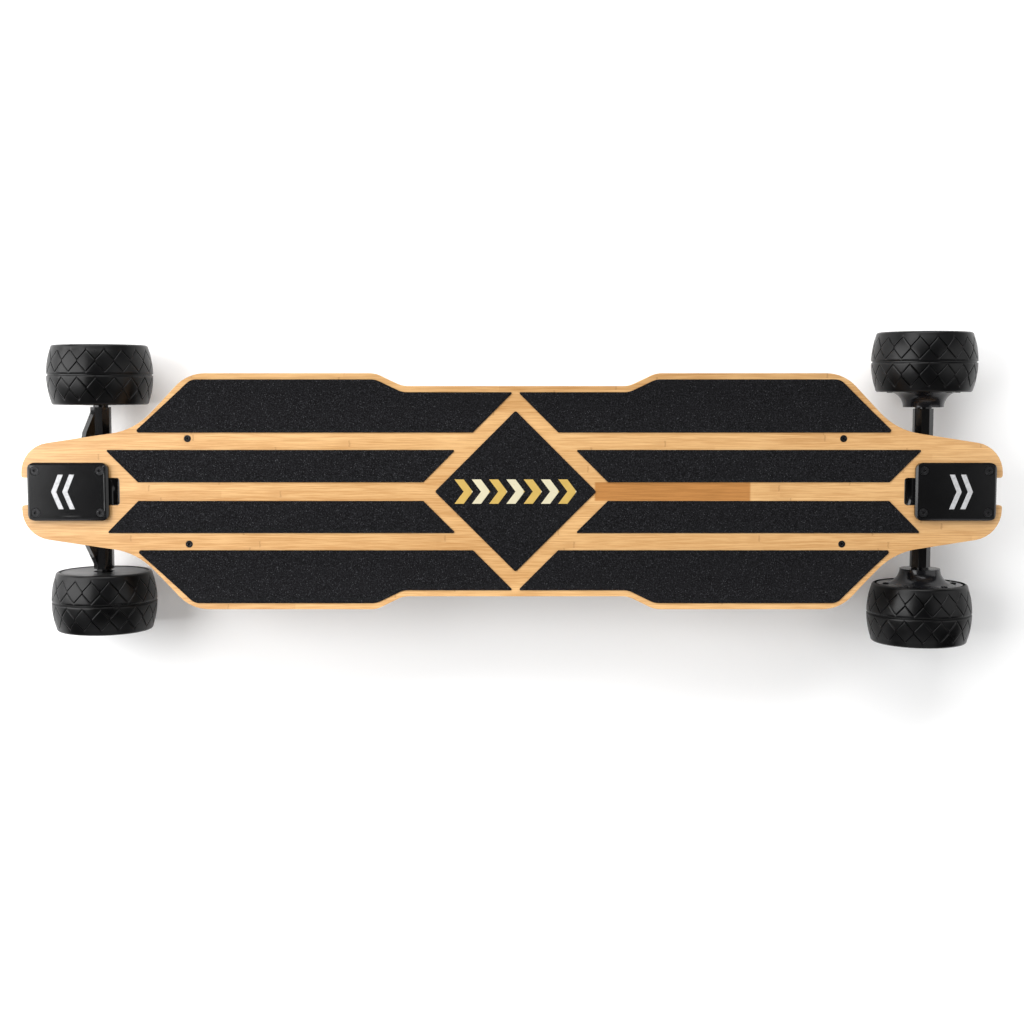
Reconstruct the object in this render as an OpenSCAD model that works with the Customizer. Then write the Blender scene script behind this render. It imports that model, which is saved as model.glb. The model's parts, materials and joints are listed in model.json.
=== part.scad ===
// Electric skateboard: double drop-through bamboo deck, reverse-kingpin trucks,
// two free-rolling front wheels and two hub-motor rear wheels.
// X runs along the board with the motor end at +X, Y is across, Z is up.
// The origin is on the floor under the middle of the deck.

/* [Deck] */
// overall length of the deck, mm
deck_l = 965; // [900:1:1050]
// width across the two wide platforms, mm
deck_w = 232; // [200:1:260]
// width of the waist in the middle, mm
waist_w = 207; // [180:1:230]
// half length of the waist before its step, mm
waist_half_l = 111; // [90:1:140]
// length of the step from waist to wide platform, mm
step_l = 26; // [15:1:45]
// distance from the deck's tip back to the shoulder of the wide platform, mm
shoulder_back = 162.5; // [140:0.5:180]
// distance from the deck's tip back to where the narrow end starts, mm
neck_back = 108.5; // [90:0.5:120]
// width where the narrow end starts, mm
neck_w = 121; // [105:1:125]
// width that the narrow end tapers to at its tip, mm
tip_w = 88; // [80:1:100]
// how far the deck's middle, with the diamond and the box, sits to the rear, mm
middle_x = 3.5; // [0:0.5:6]
// thickness of the laminated deck, mm
deck_t = 12; // [9:0.5:15]
// half width of the flat middle; outside it the deck curves up, mm
flat_half_w = 68; // [55:1:80]
// rise of the deck's long edges above the flat, mm
concave_rise = 5.5; // [2:0.5:9]
// width of the open slot in each end of the deck, mm
slot_w = 27; // [26.5:0.5:32]
// length of the slot from the deck's tip, mm
slot_l = 96.5; // [94:0.5:110]

/* [Grip] */
// thickness of the grip sheet, mm
grip_t = 0.9; // [0.6:0.1:1.5]
// half diagonal of the middle diamond, mm
diamond_r = 79.5; // [60:0.5:95]
// distance along X from the middle where the strips' slanted ends meet it, mm
strip_end_r = 100; // [85:1:120]
// margin of bare wood along the deck's edge, mm
edge_margin = 6; // [3:0.5:12]
// inner edge of the outer strips, from the centre line, mm
outer_strip_y = 58; // [50:1:70]
// inner and outer edges of the inner strips, from the centre line, mm
inner_strip_y = [9.2, 41]; // [0:0.1:60]
// length of the inner strips' tips, at the inner and outer edge, mm
inner_tip_x = [369.5, 401]; // [300:0.5:420]

/* [Trucks] */
// height of the deck's flat top above the axles, mm
truck_h = 52.5; // [50:0.5:60]
// distance from the middle of the top plate back to the axle, mm
axle_back = 18.7; // [15:0.1:22]
// rim of the top plate outside its bolts, along X and along Y, mm
plate_rim = [8, 7.85]; // [6:0.05:12]
// thickness of the top plate, mm
plate_t = 6; // [4:0.5:8]
// bare wood between the top plate and the deck's tip, mm
plate_gap = 7.05; // [4:0.05:12]
// spacing of the plate's four bolts along X and along Y, mm
bolt_pattern = [63.5, 41.3]; // [30:0.1:70]
// diameter of the truck bolts, mm
bolt_d = 5; // [4:0.1:6]
// width of the casting that passes down through the slot, mm
tower_w = 26; // [20:0.5:26]
// distance of the kingpin ring from the axle, along the steering axis, mm
ring_u = 22.6; // [20:0.1:26]
// outer diameter of the kingpin ring, mm
ring_d = 34; // [28:0.5:36]
// thickness of the kingpin ring, mm
ring_t = 8; // [6:0.5:10]
// diameter of the hole in the kingpin ring, mm
ring_bore = 14; // [12.5:0.1:16]
// diameter of the kingpin, mm
kingpin_d = 9.5; // [8:0.1:10]
// height of each bushing, mm
bushing_h = 15; // [12:0.5:17]
// outer diameter of each bushing, mm
bushing_d = 25; // [22:0.5:27]
// thickness of each bushing washer, mm
washer_t = 2; // [1:0.1:2.5]
// diameter of the hanger's pivot nose, mm
nose_d = 12; // [9:0.1:14]
// wall of the pivot cup, mm
cup_wall = 3.5; // [2:0.1:5]
// width across the flats of the hanger's bar, mm
bar_w = 19; // [16:0.5:24]

/* [Front wheels] */
// diameter of all four wheels, mm
wheel_d = 105; // [97:1:110]
// width of all four wheels, mm
wheel_w = 60; // [50:1:70]
// distance from the centre line to the middle of a front wheel, mm
front_wheel_y = 114.7; // [105:0.1:125]
// diameter of the front axle, mm
front_axle_d = 8; // [7:0.1:10]
// how far the tyre's shoulders lie below its crown, mm
crown_h = 5.5; // [2:0.5:8]
// radius of the tyre's outer corners, mm
tyre_corner_r = 3; // [1:0.5:6]
// bore, outer diameter and width of a front bearing, mm
front_bearing = [8, 22, 7]; // [5:0.1:30]
// diameter of the front core where the tyre sits, mm
front_core_d = 76; // [66:1:84]
// diameter of the front core's rims, mm
front_rim_d = 87; // [80:1:92]

/* [Hub motors] */
// distance from the centre line to the middle of a rear wheel, mm
rear_wheel_y = 127.5; // [118:0.1:135]
// diameter of the rear axle, mm
rear_axle_d = 12; // [10:0.1:14]
// outer diameter of the motor's rotor, where the tyre sits, mm
rotor_d = 86; // [80:0.5:90]
// thickness of the rotor's steel ring, mm
rotor_wall = 5; // [3:0.5:7]
// diameter of the motor's covers, mm
cover_d = 89; // [86:0.5:92]
// thickness of the motor's covers, mm
cover_t = 3; // [2:0.5:5]
// bore, outer diameter and width of a motor bearing, mm
rear_bearing = [12, 28, 8]; // [8:0.1:34]
// base diameter of the cover's flared cone, mm
cone_base_d = 72; // [60:0.5:76]
// radius of the cone's concave flare, mm
flare_r = 15.8; // [10:0.1:20]
// number of screws in each motor cover
cover_screws = 6; // [4:1:8]
// radius of the screws' circle, mm
cover_screw_r = 34.5; // [33:0.1:37]
// diameter of the stator, mm
stator_d = 60; // [50:0.5:61]
// number of stator teeth
stator_teeth = 12; // [6:3:18]

/* [Battery box] */
// air beside the cells, at each side of the box, mm
box_side_gap = 9.25; // [7:0.25:15]
// air over the cells, below the deck, mm
box_head_gap = 6.6; // [4:0.1:12]
// room for the leads at the motor end of the box, mm
box_tail = 49.7; // [46:0.1:80]
// length of the box's cut-off corners, mm
box_corner = 26; // [12:1:34]
// wall of the box, mm
box_wall = 3; // [2:0.5:5]
// thickness of the seal between box and deck, mm
seal_t = 1; // [0.5:0.1:2]
// width of the seal, mm
seal_w = 8; // [4:0.5:12]
// distance of the four deck bolts from the box's end and side, mm
deck_bolt_in = [10, 14]; // [8:1:20]
// diameter of the battery cells, mm
cell_d = 21.2; // [18:0.1:22]
// length of the battery cells, mm
cell_l = 70.2; // [65:0.1:71]
// rows of cells along the board, and cells in each row
cell_rows = 6; // [2:1:6]
cells_across = 5; // [3:1:5]

/* [Controls] */
// distance of the power button from the box's cut-off corner, mm
button_back = 24; // [14:1:60]
// distance from the power button to the charge socket, mm
socket_back = 46; // [30:1:80]
// diameter of the power button, mm
button_d = 12; // [8:0.5:14]
// travel of the power button, mm
button_travel = 1.5; // [0.5:0.1:3]
// diameter of the charge socket's hole, mm
socket_d = 11; // [6:0.5:12]
// diameter of a motor cable's hole, mm
cable_d = 7; // [5:0.5:9]

/* [Fits] */
// radial running fit of a bearing, pin or button, mm
run_fit = 0.05; // [0.01:0.01:0.1]
// air between two bodies that move past each other, mm
air = 0.3; // [0.3:0.1:1]

/* [Hidden] */
$fn = 64;
eps = 0.5;
corner_steps = 8;
deck_half_l = deck_l / 2;
axle_z = wheel_d / 2;
deck_top = axle_z + truck_h;
deck_low = deck_top - deck_t;
plate_low = truck_h;
shoulder_x = deck_half_l - shoulder_back;
neck_x = deck_half_l - neck_back;
slot_x = deck_half_l - slot_l;
plate = [bolt_pattern[0] + 2 * plate_rim[0], bolt_pattern[1] + 2 * plate_rim[1], plate_t];
plate_x = deck_half_l - plate_gap - plate[0] / 2;
axle_x = plate_x - axle_back;
curve_w = deck_w / 2 - flat_half_w;
curve_r = (curve_w * curve_w + concave_rise * concave_rise) / (2 * concave_rise);
boss_v = ring_t / 2 + bushing_h + washer_t;
cup_d = nose_d + 2 * cup_wall;
cup_seat_d = cup_d + 6.2;
cup_u = [13, 27];
nose_end_u = 22;
tower_x = slot_x + 2.5 - axle_x;
rotor_in_d = rotor_d - 2 * rotor_wall;
cone_neck_d = cone_base_d - 2 * flare_r;
cover_z = -(wheel_w / 2 - 0.5);
neck_z = cover_z - flare_r;
cell_pitch = [cell_l + 2.6, cell_d + 0.3];
cell_lift = 1.2;
board = [44, 96, 1.6];
spreader = [96, 92, 5];
packing = 6;
box_size = [box_corner + 1.5 + cell_rows * cell_pitch[0] + 4 + board[0] + packing
  + spreader[0] + box_tail,
  cells_across * cell_pitch[1] + 2 * (box_side_gap + box_wall),
  box_wall + cell_lift + cell_d + box_head_gap];
box_low = deck_low - seal_t - box_size[2];
box_end = box_size[0] / 2;
side_y = box_size[1] / 2;
deck_bolt = [box_end - deck_bolt_in[0], side_y - deck_bolt_in[1]];
control_z = box_low + box_size[2] / 2;
cell_z = box_low + box_wall + cell_lift + cell_d / 2;
cells_x = -box_end + box_corner + 1.5;
board_x = cells_x + cell_rows * cell_pitch[0] + 4;
controller_x = board_x + board[0] + packing;
button_x = box_end - box_corner - button_back;
charge_x = button_x - socket_back;
holder_l = 12;
head_d = 8.6;
bar_end = front_wheel_y - wheel_w / 2 - 2.5;

// ---------------------------------------------------------------- outlines

function unit(v) = v / norm(v);

// The points of one corner: p with its neighbours a and b, rounded to radius r.
function corner(a, p, b, r) =
  let (ua = unit(a - p), ub = unit(b - p), half = acos(ua * ub) / 2)
  r == 0 || half > 89.5 ? [p] :
  let (reach = r / tan(half), mid = unit(ua + ub), c = p + mid * (r / sin(half)))
  let (start = p + ua * reach - c, turn = (180 - 2 * half))
  let (side = ua[0] * ub[1] - ua[1] * ub[0] > 0 ? -1 : 1)
  [for (i = [0:corner_steps]) let (t = side * turn * i / corner_steps)
    c + [start[0] * cos(t) - start[1] * sin(t), start[0] * sin(t) + start[1] * cos(t)]];

// A closed outline from points [x, y, corner radius].
function rounded(p) = let (n = len(p)) [for (i = [0:n - 1])
  each corner([p[(i + n - 1) % n][0], p[(i + n - 1) % n][1]], [p[i][0], p[i][1]],
    [p[(i + 1) % n][0], p[(i + 1) % n][1]], p[i][2])];

function reversed(p) = [for (i = [len(p) - 1:-1:0]) p[i]];
function flip_x(p) = [for (q = p) [-q[0], q[1], q[2]]];
function flip_y(p) = [for (q = p) [q[0], -q[1], q[2]]];

// One quarter of the deck at an end (-1 front, 1 rear), from the slot at the tip
// round to the waist, drawn towards +X.
function deck_quarter(end) = let (m = end * middle_x) [
  [slot_x, slot_w / 2, 3],
  [deck_half_l, slot_w / 2, 2.5],
  [deck_half_l, tip_w / 2, 30],
  [neck_x + m, neck_w / 2, 67],
  [shoulder_x + m, deck_w / 2, 42],
  [waist_half_l + step_l + m, deck_w / 2, 24],
  [waist_half_l + m, waist_w / 2, 24]];

// The whole outline, from the slot at the rear round by +Y.
deck_outline = concat(
  deck_quarter(1),
  reversed(flip_x(deck_quarter(-1))),
  flip_x(flip_y(deck_quarter(-1))),
  reversed(flip_y(deck_quarter(1))));

// ---------------------------------------------------------------- the deck

// How far the deck's face has risen at a distance y from the centre line.
function rise(y) = abs(y) <= flat_half_w ? 0 :
  curve_r - sqrt(curve_r * curve_r - pow(abs(y) - flat_half_w, 2));

sheet_half_w = deck_w / 2 + 4;
bend_steps = 12;
function bend_y(i) = flat_half_w + (sheet_half_w - flat_half_w) * i / bend_steps;

// The bent section across the board between two heights over its flat top.
module bent_section(high, low) {
  across = concat([for (i = [bend_steps:-1:0]) -bend_y(i)],
    [for (i = [0:bend_steps]) bend_y(i)]);
  polygon(concat([for (y = across) [y, rise(y) + low]],
    [for (i = [len(across) - 1:-1:0]) [across[i], rise(across[i]) + high]]));
}

// A sheet of the deck's bent shape, as long as the deck.
module bent_sheet(high, low) {
  translate([0, 0, deck_top])
    rotate([90, 0, 90])
      linear_extrude(height = deck_l + 2, center = true)
        bent_section(high, low);
}

// Moves what belongs to the deck's middle and the box under it into place.
module in_middle() {
  translate([middle_x, 0, 0]) children();
}

module upright(height, low = 0) {
  translate([0, 0, low]) linear_extrude(height = height) children();
}

module at_truck_bolts() {
  for (end = [-1, 1], sx = [-1, 1], sy = [-1, 1])
    translate([end * plate_x + sx * bolt_pattern[0] / 2, sy * bolt_pattern[1] / 2])
      children();
}

module at_deck_bolts() {
  for (sx = [-1, 1], sy = [-1, 1])
    translate([sx * deck_bolt[0], sy * deck_bolt[1]])
      children();
}

module deck() {
  color("BurlyWood") difference() {
    intersection() {
      bent_sheet(0, -deck_t);
      upright(60, deck_low - 20) polygon(rounded(deck_outline));
    }
    at_truck_bolts() upright(60, deck_low - 20) circle(d = bolt_d + 0.4, $fn = 24);
    in_middle() at_deck_bolts() {
      upright(60, deck_low - 20) circle(d = bolt_d + 0.4, $fn = 24);
      upright(20, deck_top - 3) circle(d = head_d - 1.4, $fn = 24);
    }
  }
}

// ---------------------------------------------------------------- the grip

module grip_diamond() {
  color("DimGray") intersection() {
    bent_sheet(grip_t, 0);
    upright(60, deck_top - 20)
      translate([middle_x, 0]) polygon(rounded([[diamond_r, 0, 2],
        [0, diamond_r, 2], [-diamond_r, 0, 2], [0, -diamond_r, 2]]));
  }
}

// The outer strip of one quarter at an end, towards +X and +Y.
outer_wide_y = deck_w / 2 - edge_margin;
outer_waist_y = waist_w / 2 - edge_margin;
function outer_strip(end) = let (m = end * middle_x) [
  [strip_end_r + m - outer_strip_y, outer_strip_y, 1],
  [neck_x - 1 + m / 2, outer_strip_y, 2],
  [shoulder_x - 3 + m, outer_wide_y, 14],
  [waist_half_l + step_l + m, outer_wide_y, 20],
  [waist_half_l + m, outer_waist_y, 20],
  [strip_end_r + m - outer_waist_y, outer_waist_y, 1]];

// The inner strip of one quarter at an end, towards +X and +Y.
function inner_strip(end) = let (m = end * middle_x) [
  [strip_end_r + m - inner_strip_y[0], inner_strip_y[0], 1],
  [inner_tip_x[0] + m / 2, inner_strip_y[0], 1],
  [inner_tip_x[1] + m / 2, inner_strip_y[1], 1],
  [strip_end_r + m - inner_strip_y[1], inner_strip_y[1], 1]];

module strip_pair(outline, end) {
  for (p = [outline, flip_y(outline)])
    polygon(rounded(end > 0 ? p : flip_x(p)));
}

module grip_outer(end) {
  color("DimGray") intersection() {
    bent_sheet(grip_t, 0);
    upright(60, deck_top - 20) strip_pair(outer_strip(end), end);
  }
}

module grip_inner(end) {
  color("DimGray") upright(grip_t, deck_top) difference() {
    strip_pair(inner_strip(end), end);
    translate([end * plate_x, 0]) square([plate[0] + 2, plate[1] + 2], center = true);
  }
}

module grip_outer_front() { grip_outer(-1); }
module grip_outer_rear() { grip_outer(1); }
module grip_inner_front() { grip_inner(-1); }
module grip_inner_rear() { grip_inner(1); }

// A plain row of slanted bars and chevrons in foil across the diamond.
emblem_h = 24;
emblem_bar = 9;
emblem_pitch = 17;
module diamond_emblem() {
  color("Gold") upright(0.3, deck_top + grip_t)
    for (i = [-3:3])
      translate([middle_x + i * emblem_pitch, 0])
        polygon([[-emblem_bar, -emblem_h / 2], [0, -emblem_h / 2],
          [emblem_bar, 0], [0, emblem_h / 2], [-emblem_bar, emblem_h / 2], [0, 0]]);
}

// Two nested chevrons on each truck plate.
module plate_emblems() {
  color("Silver") upright(0.3, deck_top + plate[2])
    for (end = [-1, 1], i = [0, 1])
      translate([end * (plate_x + 4 - 11 * i), 0])
        scale([end, 1])
          polygon([[0, -17], [5, -17], [12, 0], [5, 17], [0, 17], [7, 0]]);
}

// ---------------------------------------------------------------- the trucks

// Puts a truck, drawn at the origin with +X pointing to the near end of the
// board and Z from the axle, at the front (-1) or the rear (1).
module at_truck(end) {
  translate([end * axle_x, 0, axle_z])
    rotate([0, 0, end > 0 ? 0 : 180])
      children();
}

// Turns +Z into the steering axis, which climbs at 45 degrees to the board's end.
module along_steering(u = 0) {
  rotate([0, 45, 0]) translate([0, 0, u]) children();
}

// Turns +Z into the kingpin's direction, up and inwards from the ring's middle.
module along_kingpin(v = 0) {
  rotate([0, 45, 0]) translate([0, 0, ring_u])
    rotate([0, -90, 0]) translate([0, 0, v]) children();
}

// The top plate with its bevelled edges.
module plate_body() {
  x = plate[0] / 2;
  y = plate[1] / 2;
  bevel = 2;
  translate([plate_x - axle_x, 0, plate_low]) intersection() {
    linear_extrude(height = plate[2])
      polygon(rounded([[x, y, 7], [-x, y, 7], [-x, -y, 7], [x, -y, 7]]));
    rotate([90, 0, 0]) linear_extrude(height = 2 * y, center = true)
      polygon([[-x, 0], [x, 0], [x, plate[2] - bevel], [x - bevel, plate[2]],
        [-x + bevel, plate[2]], [-x, plate[2] - bevel]]);
    rotate([90, 0, 90]) linear_extrude(height = 2 * x, center = true)
      polygon([[-y, 0], [y, 0], [y, plate[2] - bevel], [y - bevel, plate[2]],
        [-y + bevel, plate[2]], [-y, plate[2] - bevel]]);
  }
}

// The casting below the plate: the pivot tower inboard, the kingpin boss outboard.
module tower_side() {
  k = cos(45);
  boss_r = tower_w / 2;
  seat_r = cup_seat_d / 2;
  boss = [(ring_u - boss_v) * k, (ring_u + boss_v) * k];
  polygon([
    [tower_x, plate_low + eps],
    [tower_x, 6],
    [-(cup_u[1] + seat_r) * k + 0.8, -(cup_u[1] - seat_r) * k + 0.8],
    [-cup_u[1] * k + 1, -cup_u[1] * k + 1],
    [-(cup_u[0] + cup_d / 2 + 1) * k, -(cup_u[0] - cup_d / 2 - 1) * k],
    [tower_x + 12.5, 8],
    [tower_x + 14.5, plate_low - 15],
    [boss[0] - boss_r * k, boss[1] - boss_r * k],
    [boss[0] + boss_r * k, boss[1] + boss_r * k],
    [boss[0] + boss_r * k + 8, plate_low + eps]]);
}

module baseplate_at(end) {
  at_truck(end) difference() {
    union() {
      plate_body();
      rotate([90, 0, 0]) linear_extrude(height = tower_w, center = true) tower_side();
      along_steering(-cup_u[1]) cylinder(d = cup_seat_d, h = cup_u[1] - cup_u[0]);
    }
    along_steering(-cup_u[1] + 3) cylinder(d = cup_d, h = cup_u[1]);
    along_kingpin(boss_v - 1) cylinder(d = kingpin_d, h = 15);
    for (sx = [-1, 1], sy = [-1, 1])
      translate([plate_x - axle_x + sx * bolt_pattern[0] / 2, sy * bolt_pattern[1] / 2,
        plate_low]) {
        translate([0, 0, -eps]) cylinder(d = bolt_d + 0.4, h = plate[2] + 1, $fn = 24);
        translate([0, 0, plate[2] - 3]) cylinder(d = head_d + 0.6, h = 4, $fn = 32);
      }
  }
}

module front_baseplate() { color("DarkSlateGray") baseplate_at(-1); }
module rear_baseplate() { color("DarkSlateGray") baseplate_at(1); }

// A round head with a hexagon socket, a shank below it, and its top at z = 0.
module socket_bolt(head, head_h, shank, shank_l, key) {
  difference() {
    union() {
      translate([0, 0, -head_h]) cylinder(d = head, h = head_h, $fn = 32);
      translate([0, 0, -head_h - shank_l]) cylinder(d = shank, h = shank_l + eps, $fn = 24);
    }
    translate([0, 0, -head_h * 0.7]) cylinder(d = key, h = head_h, $fn = 6);
  }
}

truck_nut_h = 5;
module truck_bolts() {
  color("Silver") at_truck_bolts()
    translate([0, 0, deck_top + plate[2] - 0.4])
      socket_bolt(head_d, 2.6, bolt_d, plate[2] - 3 + deck_t + truck_nut_h + 2, 3.6);
}

module nut(across, bore, height) {
  difference() {
    cylinder(d = across / cos(30), h = height, $fn = 6);
    translate([0, 0, -eps]) cylinder(d = bore, h = height + 1, $fn = 24);
  }
}

module truck_nuts() {
  color("Gray") at_truck_bolts()
    translate([0, 0, deck_low - truck_nut_h]) nut(8, bolt_d, truck_nut_h);
}

kingpin_nut_h = 8;
module kingpin_at(end) {
  at_truck(end) along_kingpin(-boss_v - kingpin_nut_h - 2)
    cylinder(d = kingpin_d, h = 2 * boss_v + kingpin_nut_h + 14);
}

module front_kingpin() { color("Silver") kingpin_at(-1); }
module rear_kingpin() { color("Silver") kingpin_at(1); }

module kingpin_nuts() {
  color("Gray") for (end = [-1, 1])
    at_truck(end) along_kingpin(-boss_v - kingpin_nut_h)
      nut(14, kingpin_d, kingpin_nut_h);
}

module ring_solid(outer, inner, height) {
  difference() {
    cylinder(d = outer, h = height);
    translate([0, 0, -eps]) cylinder(d = inner, h = height + 1);
  }
}

module bushing_washers() {
  color("Silver") for (end = [-1, 1], low = [boss_v - washer_t, -boss_v])
    at_truck(end) along_kingpin(low) ring_solid(bushing_d - 1, kingpin_d, washer_t);
}

// A barrel bushing with chamfered rims, standing on z = 0.
module bushing() {
  r = bushing_d / 2;
  rotate_extrude() polygon([[kingpin_d / 2, 0], [r - 1.5, 0], [r, 1.5],
    [r, bushing_h - 1.5], [r - 1.5, bushing_h], [kingpin_d / 2, bushing_h]]);
}

module bushing_at(end, upper) {
  at_truck(end)
    along_kingpin(upper ? ring_t / 2 : -ring_t / 2 - bushing_h) bushing();
}

module front_upper_bushing() { color("Firebrick") bushing_at(-1, true); }
module front_lower_bushing() { color("Firebrick") bushing_at(-1, false); }
module rear_upper_bushing() { color("Firebrick") bushing_at(1, true); }
module rear_lower_bushing() { color("Firebrick") bushing_at(1, false); }

module pivot_cup_at(end) {
  at_truck(end) along_steering(-cup_u[1] + 3) difference() {
    cylinder(d = cup_d, h = cup_u[1] - cup_u[0] - 3);
    translate([0, 0, cup_u[1] - 3 - nose_end_u - run_fit])
      cylinder(d = nose_d + 2 * run_fit, h = cup_u[1]);
  }
}

module front_pivot_cup() { color("DarkRed") pivot_cup_at(-1); }
module rear_pivot_cup() { color("DarkRed") pivot_cup_at(1); }

// The hanger: an eight-sided bar, the web out to the kingpin ring, the pivot nose.
// web holds one side's outline from the bar to the ring, as [distance from the
// axle, distance from the centre line].
module hanger_at(end, half_l, shoulder_y, hub_d, bore, web) {
  at_truck(end) difference() {
    union() {
      rotate([90, 0, 0]) rotate([0, 0, 22.5])
        cylinder(d = bar_w / cos(22.5), h = 2 * half_l, center = true, $fn = 8);
      rotate([90, 0, 0]) cylinder(d = hub_d, h = 2 * shoulder_y, center = true);
      along_steering(-nose_end_u) cylinder(d = nose_d, h = nose_end_u);
      rotate([0, 45, 0]) rotate([0, -90, 0])
        translate([0, 0, -ring_t / 2]) linear_extrude(height = ring_t) union() {
          polygon(concat([for (p = web) [p[0], -p[1]]], reversed(web)));
          translate([ring_u, 0]) circle(d = ring_d);
        }
    }
    along_kingpin(-ring_t) cylinder(d = ring_bore, h = 2 * ring_t);
    rotate([90, 0, 0]) cylinder(d = bore, h = 2 * shoulder_y + 2, center = true);
  }
}

web_tip = [ring_u + 5, ring_d / 2 - 0.8];
front_shoulder_y = front_wheel_y - 24;
rear_shoulder_y = rear_wheel_y + neck_z + 1 - air;
module front_hanger() {
  color("DimGray")
    hanger_at(-1, bar_end, front_shoulder_y, 15, front_axle_d,
      [[0, bar_end - 1], [9, bar_end - 4], [19, bar_end - 25], web_tip]);
}
module rear_hanger() {
  color("DimGray")
    hanger_at(1, rear_wheel_y + neck_z - 1.5, rear_shoulder_y, 17, rear_axle_d,
      [[0, 40], web_tip]);
}

module front_axle() {
  color("Silver") at_truck(-1) rotate([90, 0, 0])
    cylinder(d = front_axle_d, h = 2 * (front_wheel_y + 25), center = true);
}

module rear_axle() {
  color("Silver") at_truck(1) rotate([90, 0, 0])
    cylinder(d = rear_axle_d, h = 2 * (rear_wheel_y + cap_z - air), center = true);
}

// ---------------------------------------------------------------- the wheels

// Puts a wheel, drawn with +Z pointing outwards, on one side of an axle.
module at_wheel(end, side, y) {
  translate([end * axle_x, side * y, axle_z])
    rotate([-90 * side, 0, 0])
      children();
}

inner_bearing_z = -22;
outer_bearing_z = 8;
module front_axle_nuts() {
  color("Gray") for (side = [-1, 1])
    at_wheel(-1, side, front_wheel_y)
      translate([0, 0, outer_bearing_z + front_bearing[2] + air])
        nut(13, front_axle_d, 7);
}

module front_speed_rings() {
  color("Silver") for (side = [-1, 1])
    at_wheel(-1, side, front_wheel_y)
      translate([0, 0, inner_bearing_z - 2])
        ring_solid(13, front_axle_d, 2 - air);
}

// The tyre's section: barrel tread with a groove round its crown.
module tyre(seat_d, rim_d) {
  z = wheel_w / 2;
  r = wheel_d / 2;
  rs = r - crown_h;
  rim_z = z - 4;
  crown = (z * z + (r - rs) * (r - rs)) / (2 * (r - rs));
  rotate_extrude($fn = 128) difference() {
    intersection() {
      translate([0, -z]) square([r, 2 * z]);
      translate([r - crown, 0]) circle(r = crown, $fn = 720);
      polygon(rounded([[0, -z, 0], [rs, -z, tyre_corner_r], [r + 2, 0, 0],
        [r + 2, 0.01, 0], [rs, z, tyre_corner_r], [0, z, 0]]));
    }
    translate([-1, -z - 1]) square([seat_d / 2 + 1, 2 * z + 2]);
    for (s = [-1, 1]) translate([0, s > 0 ? rim_z : -z - 1])
      square([rim_d / 2, 5]);
    translate([r - 1.2, -0.9]) square([3, 1.8]);
  }
}

module front_core() {
  z = wheel_w / 2;
  bearing_r = front_bearing[1] / 2;
  difference() {
    rotate_extrude($fn = 96) difference() {
      union() {
        translate([0, -z + 0.5]) square([front_core_d / 2, 2 * z - 1]);
        translate([0, -z + 0.5]) square([front_rim_d / 2, 3.5]);
        translate([0, z - 4]) square([front_rim_d / 2, 3.5]);
      }
      translate([-1, inner_bearing_z + front_bearing[2] - 0.01])
        square([7.5, outer_bearing_z - inner_bearing_z - front_bearing[2] + 0.02]);
      translate([-1, inner_bearing_z]) square([bearing_r + 1, front_bearing[2]]);
      translate([-1, outer_bearing_z]) square([bearing_r + 1, front_bearing[2]]);
      translate([-1, -z - 1]) square([bearing_r - 0.5 + 1, z + 1 + inner_bearing_z + 0.01]);
      translate([-1, outer_bearing_z + front_bearing[2] - 0.01]) square([bearing_r + 1.5, z]);
    }
    for (i = [0:4]) rotate([0, 0, 72 * i]) translate([24.5, 0, -2])
      cylinder(d = 14, h = z + 2, $fn = 48);
  }
}

module bearing_pair(size, low, high) {
  for (z = [low, high]) translate([0, 0, z])
    ring_solid(size[1], size[0] + 2 * run_fit, size[2]);
}

module front_tyre_at(side) {
  color("Black") at_wheel(-1, side, front_wheel_y) tyre(front_core_d, front_rim_d);
}
module front_core_at(side) {
  color("SlateGray") at_wheel(-1, side, front_wheel_y) front_core();
}
module front_bearings_at(side) {
  color("Silver") at_wheel(-1, side, front_wheel_y)
    bearing_pair(front_bearing, inner_bearing_z, outer_bearing_z);
}

module front_left_tyre() { front_tyre_at(-1); }
module front_left_core() { front_core_at(-1); }
module front_left_bearings() { front_bearings_at(-1); }
module front_right_tyre() { front_tyre_at(1); }
module front_right_core() { front_core_at(1); }
module front_right_bearings() { front_bearings_at(1); }

// ---------------------------------------------------------------- hub motors

cap_z = wheel_w / 2 - 5;
motor_bearing_z = [neck_z + 1, cap_z - rear_bearing[2] - 0.5];
end_ring_z = -wheel_w / 2 + 3.5;

module rotor() {
  difference() {
    union() {
      rotate_extrude($fn = 96) difference() {
        union() {
          translate([0, end_ring_z]) square([rotor_d / 2, cap_z + 4 - end_ring_z]);
          translate([0, wheel_w / 2 - 4]) square([cover_d / 2, 3.5]);
        }
        translate([-1, end_ring_z - 1]) square([rotor_in_d / 2 + 1, cap_z - end_ring_z - 7]);
        translate([-1, end_ring_z]) square([rear_bearing[1] / 2 + 1, cap_z - end_ring_z]);
      }
      translate([0, 0, end_ring_z]) ring_solid(rotor_in_d + 2, stator_d + 2.4, 5);
    }
    for (i = [0:cover_screws - 1]) rotate([0, 0, 360 / cover_screws * i])
      translate([cover_screw_r, 0, end_ring_z - 1]) cylinder(d = 3, h = 5, $fn = 24);
    for (i = [0:5]) rotate([0, 0, 60 * i]) translate([26, 0, wheel_w / 2 - 2])
      cylinder(d = 9, h = 3, $fn = 32);
  }
}

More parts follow.
